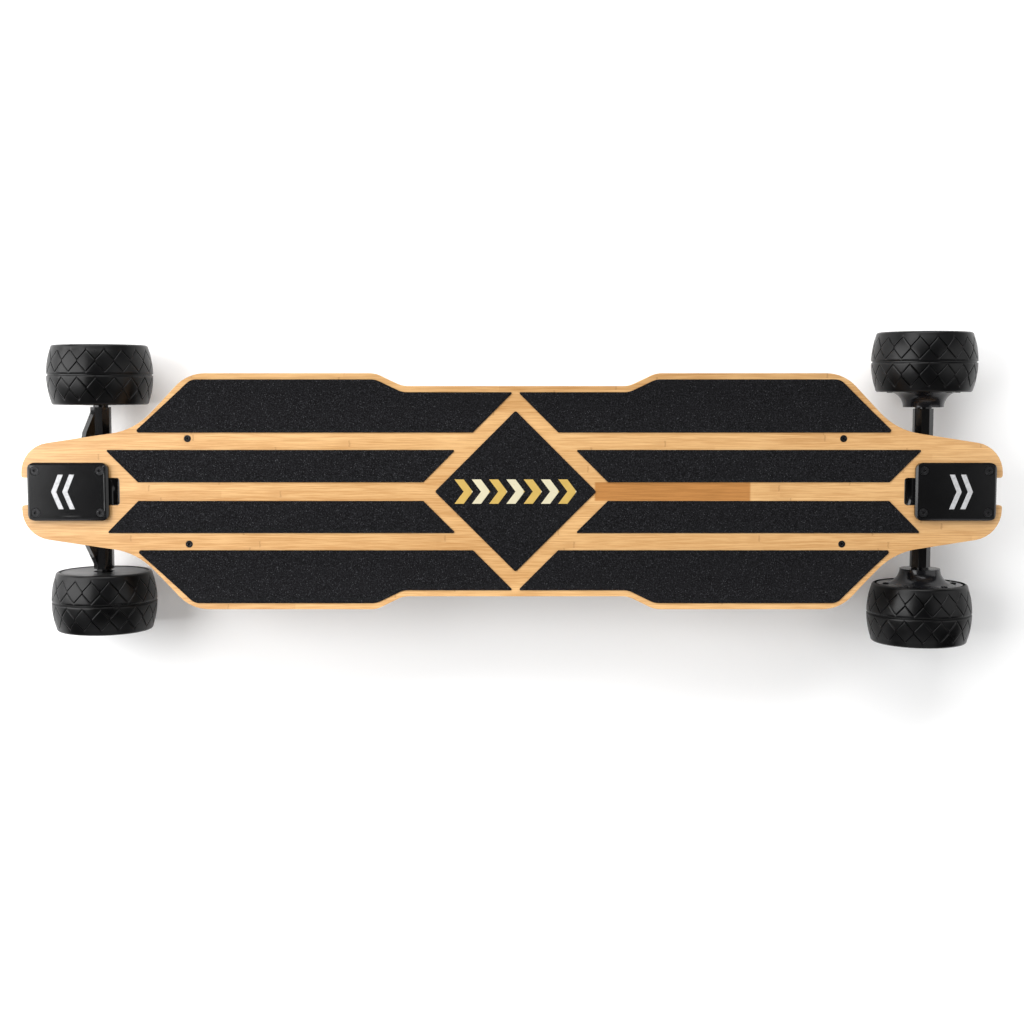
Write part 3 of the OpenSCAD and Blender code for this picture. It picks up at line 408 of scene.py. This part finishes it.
def coated(name, shade, rough, peel, metal=0.0, coat=0.0, scale=700.0):
    """Smooth coat with a faint orange peel, paler where it is rubbed."""
    f = Finish(name, rough=rough, metal=metal)
    peel_noise = f.noise(scale, 2)
    smear = f.noise(38.0, 4)
    f.set("Base Color", f.mix(f.span(smear, 0.3, 0.8), shade, darker(shade, 1.25)))
    f.set("Roughness", f.span(smear, 0.2, 0.85, rough * 0.92, min(1.0, rough * 1.12)))
    f.set("Coat Weight", coat)
    f.set("Coat Roughness", 0.08)
    f.set("Specular IOR Level", 0.25)
    f.bump(peel_noise, peel, 0.4)
    return f.material


def casting():
    return coated("black_casting", tuple(colours().casting), 0.15, 0.00003, coat=0.15)


def core_plastic():
    return coated("core_plastic", darker(colours().casting, 1.3), 0.38, 0.00003, coat=0.05)


def motor_casing():
    """Turned and anodised: fine lines run round the wheel's axle."""
    c = colours()
    f = Finish("motor_black", rough=0.24, metal=0.2)
    axes = f.axes()
    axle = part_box("rear_left_tyre")
    mid_x, mid_z = (axle[0].x + axle[1].x) / 2, (axle[0].z + axle[1].z) / 2
    dx = f.math("SUBTRACT", axes[0], mid_x)
    dz = f.math("SUBTRACT", axes[2], mid_z)
    reach = f.math("SQRT", f.math("ADD", f.math("MULTIPLY", dx, dx), f.math("MULTIPLY", dz, dz)))
    lines = f.noise(1400.0, 2, vector=f.vector(reach, f.math("MULTIPLY", axes[1], 0.4)))
    smear = f.noise(45.0, 3)
    f.set("Base Color", f.mix(f.span(lines, 0.3, 0.7), darker(c.motor, 0.7), darker(c.motor, 1.5)))
    f.set("Roughness", f.span(smear, 0.3, 0.8, 0.17, 0.32))
    f.set("Coat Weight", 0.12)
    f.set("Coat Roughness", 0.1)
    f.set("Specular IOR Level", 0.3)
    f.bump(lines, 0.00002, 0.35)
    return f.material


def tread_rubber():
    """Tyre rubber: satin, with moulding blotches and fine pores."""
    c = colours()
    f = Finish("tread_rubber", rough=0.42)
    blotch = f.noise(30.0, 5)
    pore = f.noise(1300.0, 2)
    f.set("Base Color", f.mix(f.span(blotch, 0.35, 0.72), darker(c.rubber, 0.7),
                              darker(c.rubber, 1.7)))
    f.set("Roughness", f.span(blotch, 0.3, 0.75, 0.27, 0.40))
    f.set("Specular IOR Level", 0.19)
    f.bump(pore, 0.00004, 0.3)
    return f.material


def urethane():
    f = Finish("urethane", rough=0.3)
    shade = tuple(colours().urethane)
    cloud = f.noise(120.0, 3)
    f.set("Base Color", f.mix(f.span(cloud, 0.3, 0.7), shade, darker(shade, 1.8)))
    f.set("Roughness", f.span(cloud, 0.3, 0.8, 0.24, 0.4))
    f.set("Subsurface Weight", 0.15)
    f.set("Subsurface Scale", 0.002)
    f.bump(f.noise(700.0, 2), 0.00005, 0.3)
    return f.material


def bright_steel():
    """Brushed and plated steel with faint scratches and stains."""
    c = colours()
    f = Finish("bright_steel", rough=0.28, metal=1.0)
    brush = f.noise(180.0, 4, (1, 1, 14))
    stain = f.noise(55.0, 4)
    f.set("Base Color", f.mix(f.span(stain, 0.4, 0.75), tuple(c.steel), darker(c.steel, 0.72)))
    f.set("Roughness", f.span(brush, 0.3, 0.75, 0.2, 0.38))
    f.bump(brush, 0.00003, 0.4)
    return f.material


def black_steel():
    """Blackened screws, bare where the key has rubbed."""
    f = Finish("black_steel", rough=0.3, metal=0.6)
    rub = f.noise(600.0, 4)
    f.set("Base Color", f.mix(f.span(rub, 0.56, 0.78), (0.012, 0.012, 0.013), (0.09, 0.09, 0.094)))
    f.set("Roughness", f.span(rub, 0.3, 0.75, 0.24, 0.45))
    f.bump(rub, 0.00004, 0.4)
    return f.material


def winding():
    """Stator: dark lamination edges, copper turns between the teeth."""
    f = Finish("winding", rough=0.4, metal=0.8)
    stack = f.noise(900.0, 1, (0.02, 1, 0.02))
    wire = f.noise(500.0, 2)
    f.set("Base Color", f.mix(f.span(stack, 0.35, 0.65), (0.10, 0.09, 0.09), (0.42, 0.17, 0.06)))
    f.set("Roughness", f.span(wire, 0.3, 0.7, 0.3, 0.5))
    f.bump(stack, 0.0001, 0.5)
    return f.material


def box_plastic():
    """Moulded shell with a leathery spark texture."""
    c = colours()
    f = Finish("box_plastic", rough=0.55)
    spark = f.cells(900.0)
    smear = f.noise(20.0, 4)
    f.set("Base Color", f.mix(f.span(smear, 0.35, 0.75), tuple(c.box), darker(c.box, 1.7)))
    f.set("Roughness", f.span(smear, 0.3, 0.8, 0.48, 0.66))
    f.bump(spark, 0.00012, 0.6)
    return f.material


def seal_foam():
    f = Finish("seal_foam", rough=0.9)
    pore = f.cells(1600.0)
    f.set("Base Color", f.mix(f.span(pore, 0.2, 0.6), (0.008, 0.008, 0.008), (0.03, 0.03, 0.031)))
    f.bump(pore, 0.0002, 0.6)
    return f.material


def cell_wrap():
    """Shrink-wrapped cells: blue film in two tints."""
    f = Finish("cell_wrap", rough=0.28)
    wrinkle = f.noise(260.0, 3, (1, 6, 6))
    tint = f.noise(14.0, 2)
    f.set("Base Color", f.mix(f.span(tint, 0.3, 0.7), (0.03, 0.12, 0.34), (0.05, 0.18, 0.45)))
    f.set("Roughness", f.span(wrinkle, 0.3, 0.7, 0.2, 0.38))
    f.bump(wrinkle, 0.00008, 0.5)
    return f.material


def circuit_board():
    """Solder mask with tracks, and darker parts standing on it."""
    f = Finish("circuit_board", rough=0.35)
    track = f.node("ShaderNodeTexBrick")
    f.feed(track.inputs["Vector"], f.place)
    for socket, value in (("Scale", 60.0), ("Mortar Size", 0.03), ("Brick Width", 0.7)):
        track.inputs[socket].default_value = value
    mask = f.mix(track.outputs["Fac"], (0.01, 0.10, 0.035), (0.03, 0.22, 0.09))
    _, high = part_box("battery_board")
    part = f.span(f.axes()[2], high.z - 0.0052, high.z - 0.0048)
    f.set("Base Color", f.mix(part, mask, (0.02, 0.02, 0.022)))
    f.set("Roughness", f.span(f.noise(200.0, 3), 0.3, 0.7, 0.28, 0.45))
    f.bump(track.outputs["Fac"], 0.00008, 0.5)
    return f.material


def bare_aluminium():
    f = Finish("bare_aluminium", rough=0.38, metal=1.0)
    mill = f.noise(160.0, 3, (1, 12, 1))
    f.set("Base Color", f.mix(f.span(mill, 0.3, 0.7), (0.60, 0.60, 0.62), (0.72, 0.72, 0.74)))
    f.set("Roughness", f.span(mill, 0.3, 0.7, 0.3, 0.46))
    f.bump(mill, 0.00004, 0.5)
    return f.material


def cup_plastic():
    return coated("cup_plastic", (0.02, 0.02, 0.021), 0.5, 0.00008)


def soft_cap():
    return coated("soft_cap", (0.018, 0.018, 0.019), 0.62, 0.0001, scale=1100.0)


FINISHES = {
    "bamboo": bamboo,
    "grip_sheet": grip_sheet,
    "gold_foil": foil,
    "silver_print": silver_print,
    "black_casting": casting,
    "bright_steel": bright_steel,
    "black_steel": black_steel,
    "urethane": urethane,
    "cup_plastic": cup_plastic,
    "tread_rubber": tread_rubber,
    "core_plastic": core_plastic,
    "motor_black": motor_casing,
    "winding": winding,
    "box_plastic": box_plastic,
    "seal_foam": seal_foam,
    "cell_wrap": cell_wrap,
    "circuit_board": circuit_board,
    "bare_aluminium": bare_aluminium,
    "soft_cap": soft_cap,
}
SLOT_OF = {part["node"]: part["material_slot"] for part in frame["record"]["subparts"]}
MADE = {}


def finish(slot):
    """The material of a slot, made the first time it is asked for."""
    if slot not in MADE:
        MADE[slot] = FINISHES[slot]()
    return MADE[slot]


# -------------------------------------------------------------- mesh helpers


def dress(node):
    """Gives a CAD node that keeps its shape the finish of its slot."""
    node_object = NODES[node]
    node_object.data.materials.clear()
    node_object.data.materials.append(finish(SLOT_OF[node]))


def new_piece(name, bm, node):
    """Makes an object of a bmesh, with the finish of the CAD node it stands for."""
    mesh = bpy.data.meshes.new(name)
    bm.to_mesh(mesh)
    bm.free()
    mesh.polygons.foreach_set("use_smooth", [True] * len(mesh.polygons))
    piece = bpy.data.objects.new(name, mesh)
    bpy.context.scene.collection.objects.link(piece)
    mesh.materials.append(finish(SLOT_OF[node]))
    return piece


def merged_copy(node):
    """A bmesh of a CAD node with its doubles merged and flat faces joined."""
    bm = bmesh.new()
    bm.from_mesh(NODES[node].data)
    bmesh.ops.remove_doubles(bm, verts=bm.verts, dist=2e-6)
    bmesh.ops.dissolve_limit(
        bm, angle_limit=math.radians(0.4), verts=bm.verts, edges=bm.edges, delimit=set()
    )
    return bm


def weigh_outline(bm, angle, smallest):
    """Marks for bevelling the sharp edges whose loop is at least so long, not small holes.

    Near the truck slots, whose corners are tight, the rounding fades out.
    """
    weight = bm.edges.layers.float.new("bevel_weight_edge")
    sharp = {e for e in bm.edges if e.is_manifold and e.calc_face_angle() > angle}
    while sharp:
        loop = {sharp.pop()}
        reach = list(loop)
        while reach:
            for vert in reach.pop().verts:
                found = sharp.intersection(vert.link_edges)
                sharp -= found
                loop |= found
                reach.extend(found)
        xs = [vert.co.x for edge in loop for vert in edge.verts]
        if max(xs) - min(xs) > smallest:
            for edge in loop:
                off = min(abs(vert.co.y) for vert in edge.verts)
                edge[weight] = max(SLOT_ROUND, min(1.0, (off - SLOT_HALF_W) / SLOT_FADE))


def rounded(node, width, segments=2, angle=32, blend=None, smallest=None):
    """Stands a copy of a CAD node with rounded edges in the node's place."""
    bm = merged_copy(node)
    if smallest:
        weigh_outline(bm, math.radians(angle), smallest)
    piece = new_piece(node + "_finished", bm, node)
    piece.data.set_sharp_from_angle(angle=math.radians(angle))
    edge = piece.modifiers.new("Rounded edges", "BEVEL")
    edge.width = width
    edge.segments = segments
    edge.limit_method = "WEIGHT" if smallest else "ANGLE"
    edge.angle_limit = math.radians(angle)
    edge.use_clamp_overlap = True
    edge.harden_normals = True
    if blend:
        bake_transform(piece)
    else:
        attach(piece, body_of(node))
    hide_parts(node)
    return piece


# -------------------------------------------------------------------- pieces


class SKATE_OT_stage(bpy.types.Operator):
    """Sets up the floor, the lights and the camera"""

    bl_idname = "skate.stage"
    bl_label = "Stage"

    def execute(self, context):
        self.floor()
        self.lights()
        self.camera()
        context.scene.view_settings.view_transform = "Standard"
        return {"FINISHED"}

    def floor(self):
        bm = bmesh.new()
        bmesh.ops.create_grid(bm, x_segments=2, y_segments=2, size=6.0)
        mesh = bpy.data.meshes.new("floor")
        bm.to_mesh(mesh)
        bm.free()
        floor = bpy.data.objects.new("floor", mesh)
        bpy.context.scene.collection.objects.link(floor)
        paint = Finish("floor_paint_and_glow", rough=0.75)
        cloud = paint.noise(1.2, 3)
        shade = tuple(colours().floor)
        paint.set("Base Color", paint.mix(cloud, shade, darker(shade, 0.985)))
        paint.set("Specular IOR Level", 0.2)
        # painted light: the floor glows faintly, which lifts the shade around the board and lights
        # the board from below
        paint.set("Emission Color", (1.0, 1.0, 1.0))
        paint.set("Emission Strength", 0.12)
        mesh.materials.append(paint.material)

    def lights(self):
        world = bpy.data.worlds.new("studio")
        world.use_nodes = True
        backdrop = world.node_tree.nodes["Background"]
        backdrop.inputs["Color"].default_value = (1, 1, 1, 1)
        # dim for the light it gives, white where the camera looks past the floor
        path = world.node_tree.nodes.new("ShaderNodeLightPath")
        level = world.node_tree.nodes.new("ShaderNodeMapRange")
        level.inputs["To Min"].default_value = 0.08
        level.inputs["To Max"].default_value = 0.9
        world.node_tree.links.new(path.outputs["Is Camera Ray"], level.inputs["Value"])
        world.node_tree.links.new(level.outputs["Result"], backdrop.inputs["Strength"])
        bpy.context.scene.world = world
        # name, place, aimed at, width, depth, watts
        softboxes = (
            ("left_wall", (-2.0, 0.4, 1.4), (-0.1, 0, 0), 1.5, 2.8, 86.0),
            ("far_wall", (-0.4, 2.0, 1.5), (0, 0.1, 0), 3.0, 1.4, 84.0),
            ("right_wall", (2.0, 0.2, 1.4), (0.1, 0, 0), 1.3, 2.6, 17.0),
            ("near_wall", (0.0, -2.0, 1.5), (0, -0.1, 0), 3.0, 1.3, 17.0),
        )
        for name, place, aim, width, depth, watts in softboxes:
            data = bpy.data.lights.new(name, "AREA")
            data.shape = "RECTANGLE"
            data.size = width
            data.size_y = depth
            data.energy = watts
            lamp = bpy.data.objects.new(name, data)
            lamp.location = place
            away = Vector(place) - Vector(aim)
            lamp.rotation_euler = away.to_track_quat("Z", "Y").to_euler()
            bpy.context.scene.collection.objects.link(lamp)

    def camera(self):
        data = bpy.data.cameras.new("camera")
        data.lens = 53.5
        data.sensor_width = 36.0
        above = 1.494
        # the camera stands a little to the far side and leans back over the board
        lead, tilt = math.radians(3.93), math.radians(4.70)
        camera = bpy.data.objects.new("camera", data)
        camera.location = (0.0, above * math.tan(lead), FLAT_TOP + above)
        camera.rotation_euler = (-tilt, 0.0, 0.0)
        bpy.context.scene.collection.objects.link(camera)
        bpy.context.scene.camera = camera


class SKATE_OT_deck(bpy.types.Operator):
    """Finishes the laminated bamboo deck"""

    bl_idname = "skate.deck"
    bl_label = "Deck"

    def execute(self, context):
        deck = rounded("deck", sizes().deck_round, segments=5, angle=40, smallest=0.05)
        even = deck.modifiers.new("Even normals", "WEIGHTED_NORMAL")
        even.keep_sharp = True
        return {"FINISHED"}


class SKATE_OT_grip(bpy.types.Operator):
    """Finishes the grip sheets"""

    bl_idname = "skate.grip"
    bl_label = "Grip"

    def execute(self, context):
        for node in sorted(NODES):
            if node.startswith("grip_"):
                rounded(node, 0.00025, segments=2, angle=50)
        return {"FINISHED"}


class SKATE_OT_emblems(bpy.types.Operator):
    """Finishes the plain motifs on the diamond and on the truck plates"""

    bl_idname = "skate.emblems"
    bl_label = "Motifs"

    def execute(self, context):
        rounded("diamond_emblem", 0.0001, segments=1)
        rounded("plate_emblems", 0.0001, segments=1)
        return {"FINISHED"}


class SKATE_OT_trucks(bpy.types.Operator):
    """Finishes the truck baseplates, hangers, axles and their hardware"""

    bl_idname = "skate.trucks"
    bl_label = "Trucks"

    def execute(self, context):
        soft = sizes().casting_round
        for end in ENDS:
            rounded(end + "_baseplate", soft * 0.7, segments=3)
            rounded(end + "_hanger", soft, segments=3)
            rounded(end + "_kingpin", 0.0006)
            rounded(end + "_axle", 0.0006)
            dress(end + "_pivot_cup")
            self.bushings(end)
        for node in ("kingpin_nuts", "bushing_washers", "front_axle_nuts", "front_speed_rings"):
            rounded(node, 0.0003)
        return {"FINISHED"}

    def bushings(self, end):
        """Rounds the bushings that sit between the plate's kingpin and the hanger's ring."""
        for level in ("upper", "lower"):
            node = f"{end}_{level}_bushing"
            low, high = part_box(node)
            middle = (low + high) / 2
            outward = -1 if end == "front" else 1
            up = Vector((-outward, 0, 1)).normalized()
            away = up if level == "upper" else -up
            fixed, moving = middle + away * BUSHING_REACH, middle - away * BUSHING_REACH
            rounded(node, 0.0006, segments=3,
                    blend=("deck", end + "_hanger", tuple(fixed), tuple(moving)))


class SKATE_OT_fasteners(bpy.types.Operator):
    """Finishes the bolts and nuts of the trucks and of the battery box"""

    bl_idname = "skate.fasteners"
    bl_label = "Fasteners"

    def execute(self, context):
        for node in ("truck_bolts", "truck_nuts", "deck_bolts"):
            rounded(node, 0.00025)
        return {"FINISHED"}


class SKATE_OT_tyres(bpy.types.Operator):
    """Models the four tyres with their crossed tread grooves"""

    bl_idname = "skate.tyres"
    bl_label = "Tyres"

    def execute(self, context):
        for end in ENDS:
            for side in SIDES:
                self.tyre(end, side)
        return {"FINISHED"}

    def barrel(self, y, crown, half):
        """The tyre's radius at a distance y from its middle."""
        drop = sizes().crown_height
        arc = (half * half + drop * drop) / (2 * drop)
        return crown - arc + math.sqrt(arc * arc - y * y)

    def rows(self, half):
        """Where the mesh rows of one half lie, from the crown groove to the shoulder."""
        s = sizes()
        first, last = TREAD_START, half - TREAD_MARGIN
        count = s.tread_columns + s.tread_jog_rows
        return [first + (last - first) * i / count for i in range(count + 1)]

    def profile(self, crown, half, rim, seat):
        """The closed section of the tyre, as (y, radius) points on both sides of its middle."""
        s = sizes()
        groove = s.crown_groove / 2
        sunk = crown - CROWN_GROOVE_DEPTH
        corner = s.tyre_corner
        side = [(0.0, sunk), (groove * 0.7, sunk), (groove, crown - 0.0003),
                (groove * 1.3, self.barrel(groove * 1.3, crown, half))]
        side += [(y, self.barrel(y, crown, half)) for y in self.rows(half)]
        start = half - corner
        start_r = self.barrel(start, crown, half)
        side.append((start - 0.0008, self.barrel(start - 0.0008, crown, half)))
        for i in range(9):
            turn = math.radians(10 + 10 * i)
            side.append((start + corner * math.sin(turn),
                         start_r - corner * (1 - math.cos(turn))))
        side += [(half, start_r - corner - 0.002), (half, rim + 0.0008),
                 (half - 0.0008, rim), (half - TYRE_LIP, rim), (half - TYRE_LIP, seat)]
        mirrored = [(-y, r) for y, r in reversed(side[1:])]
        return mirrored + side

    def tyre(self, end, side):
        """Spins the section into a tyre, cuts its tread and stands it in the CAD tyre's place."""
        s = sizes()
        node = f"{end}_{side}_tyre"
        low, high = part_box(node)
        middle = (low + high) / 2
        crown = (high.z - low.z) / 2
        half = (high.y - low.y) / 2
        seat_low, seat_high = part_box(f"{end}_{side}_" + ("core" if end == "front" else "rotor"))
        rim = (seat_high.x - seat_low.x) / 2
        section = self.profile(crown, half, rim, TYRE_SEAT_R[end])
        bm = bmesh.new()
        ring = [bm.verts.new((0.0, y, r)) for y, r in section]
        edges = [bm.edges.new((a, b)) for a, b in zip(ring, ring[1:] + ring[:1])]
        columns = s.tread_periods * s.tread_columns
        bmesh.ops.spin(bm, geom=ring + edges, cent=(0, 0, 0), axis=(0, 1, 0),
                       angle=math.tau, steps=columns, use_merge=True)
        bmesh.ops.remove_doubles(bm, verts=bm.verts, dist=1e-6)
        self.cut_grooves(bm, half, crown)
        bmesh.ops.recalc_face_normals(bm, faces=bm.faces)
        bmesh.ops.translate(bm, verts=bm.verts, vec=middle)
        piece = new_piece(node + "_finished", bm, node)
        piece.data.set_sharp_from_angle(angle=math.radians(55))
        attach(piece, body_of(node))
        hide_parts(node)

    def groove_column(self, row):
        """How many columns a groove has moved round the tyre at a row."""
        s = sizes()
        before = s.tread_columns // 2
        if row <= before:
            return row
        return max(before, row - s.tread_jog_rows)

    def cut_grooves(self, bm, half, crown):
        """Sinks the points on the crossing lines, then splits the faces along them."""
        s = sizes()
        rows = self.rows(half)
        columns = s.tread_periods * s.tread_columns
        paths = {}
        for row in range(len(rows)):
            moved = self.groove_column(row)
            paths[row] = {moved % s.tread_columns, -moved % s.tread_columns}
        step = rows[1] - rows[0]
        sunk = set()
        for vert in bm.verts:
            y = abs(vert.co.y)
            row = round((y - rows[0]) / step)
            if not 0 <= row < len(rows) or abs(rows[row] - y) > 2e-5:
                continue
            reach = math.hypot(vert.co.x, vert.co.z)
            if reach < self.barrel(y, crown, half) - 0.0005:
                continue
            angle = math.atan2(vert.co.x, vert.co.z) / math.tau * columns
            shift = s.tread_columns // 2 if vert.co.y < 0 else 0
            if (round(angle) + shift) % s.tread_columns in paths[row]:
                deep = s.groove_depth * min(1.0, 0.35 + 0.25 * min(row, len(rows) - 1 - row))
                vert.co.x *= (reach - deep) / reach
                vert.co.z *= (reach - deep) / reach
                sunk.add(vert)
        for face in list(bm.faces):
            low = [v for v in face.verts if v in sunk]
            if len(face.verts) == 4 and len(low) == 2:
                if not any(set(edge.verts) == set(low) for edge in face.edges):
                    bmesh.utils.face_split(face, low[0], low[1])


class SKATE_OT_front_wheels(bpy.types.Operator):
    """Finishes the front wheels' cores and bearings"""

    bl_idname = "skate.front_wheels"
    bl_label = "Front wheels"

    def execute(self, context):
        for side in SIDES:
            rounded(f"front_{side}_core", sizes().moulding_round, segments=3)
            dress(f"front_{side}_bearings")
        return {"FINISHED"}


class SKATE_OT_hub_motors(bpy.types.Operator):
    """Finishes the hub motors"""

    bl_idname = "skate.hub_motors"
    bl_label = "Hub motors"

    def execute(self, context):
        for side in SIDES:
            rounded(f"rear_{side}_rotor", 0.0004)
            rounded(f"rear_{side}_cover", 0.0005, segments=3)
            rounded(f"rear_{side}_screws", 0.0002)
            dress(f"rear_{side}_bearings")
            dress(f"rear_{side}_stator")
        return {"FINISHED"}


class SKATE_OT_battery_box(bpy.types.Operator):
    """Finishes the battery box, its seal and what it holds"""

    bl_idname = "skate.battery_box"
    bl_label = "Battery box"

    def execute(self, context):
        rounded("battery_box", 0.0012, segments=3, angle=40)
        for node in ("box_seal", "battery_cells", "cell_holders", "battery_board",
                     "motor_controller", "heat_spreader"):
            dress(node)
        return {"FINISHED"}


class SKATE_OT_controls(bpy.types.Operator):
    """Finishes the power button, the charge socket and the cable entries"""

    bl_idname = "skate.controls"
    bl_label = "Controls"

    def execute(self, context):
        for node in ("power_button", "button_housing", "charge_socket", "charge_cap",
                     "cable_glands"):
            rounded(node, 0.0003)
        dress("cap_pin")
        return {"FINISHED"}


class SKATE_PT_panel(bpy.types.Panel):
    """Lists the steps that build the skateboard"""

    bl_label = "Skateboard"
    bl_idname = "SKATE_PT_panel"
    bl_space_type = "VIEW_3D"
    bl_region_type = "UI"
    bl_category = "Skateboard"

    def draw(self, context):
        for step in STEPS:
            self.layout.operator(step.bl_idname)
        for group in (context.scene.skate_sizes, context.scene.skate_colours):
            for name in group.__annotations__:
                self.layout.prop(group, name)


STEPS = (
    SKATE_OT_stage,
    SKATE_OT_deck,
    SKATE_OT_grip,
    SKATE_OT_emblems,
    SKATE_OT_trucks,
    SKATE_OT_fasteners,
    SKATE_OT_tyres,
    SKATE_OT_front_wheels,
    SKATE_OT_hub_motors,
    SKATE_OT_battery_box,
    SKATE_OT_controls,
)
CLASSES = (SkateSizes, SkateColours, *STEPS, SKATE_PT_panel)


def register():
    for cls in CLASSES:
        bpy.utils.register_class(cls)
    bpy.types.Scene.skate_sizes = PointerProperty(type=SkateSizes)
    bpy.types.Scene.skate_colours = PointerProperty(type=SkateColours)


def unregister():
    del bpy.types.Scene.skate_colours
    del bpy.types.Scene.skate_sizes
    for cls in reversed(CLASSES):
        bpy.utils.unregister_class(cls)


def main():
    register()
    for step in STEPS:
        _, name = step.bl_idname.split(".")
        getattr(bpy.ops.skate, name)()


if __name__ == "__main__":
    main()
